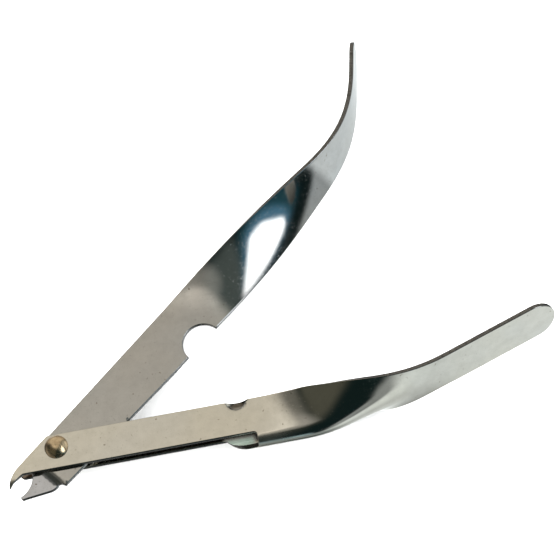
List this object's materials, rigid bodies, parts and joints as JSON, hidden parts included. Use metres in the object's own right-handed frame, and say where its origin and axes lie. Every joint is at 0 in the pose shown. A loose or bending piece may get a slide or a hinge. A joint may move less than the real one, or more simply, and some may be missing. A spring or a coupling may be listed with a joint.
{
  "type": "staple extractor",
  "caption": "Hand staple extractor: a U-channel lever with a curved beak and a single-sheet lever with a pressing tip, crossing at a rivet, with twisted sheet-metal handles.",
  "frame": {"origin": "bottom centre of the bounding box of the whole tool in its open rest pose", "axes": "+X along the straight part of the channel lever towards its handle, +Z along the rivet towards its domed head, +Y in the plane of the levers towards the blade lever's handle"},
  "size_m": [0.118, 0.0924, 0.014],
  "materials": {
    "steel_sheet": "tumbled satin stainless sheet",
    "rivet_metal": "satin bronze-nickel rivet",
    "spacer_metal": "turned steel"
  },
  "bodies": {
    "channel": {"channel_lever": "steel_sheet", "pivot_rivet": "rivet_metal", "pivot_spacer": "spacer_metal"},
    "blade": {"blade_lever": "steel_sheet"}
  },
  "joints": [
    {"name": "pivot", "type": "hinge", "parent": "channel", "child": "blade", "pos_m": [-0.04808, -0.03648, 0.00765], "axis": [0, 0, 1], "range_deg": [-27, 45]}
  ]
}
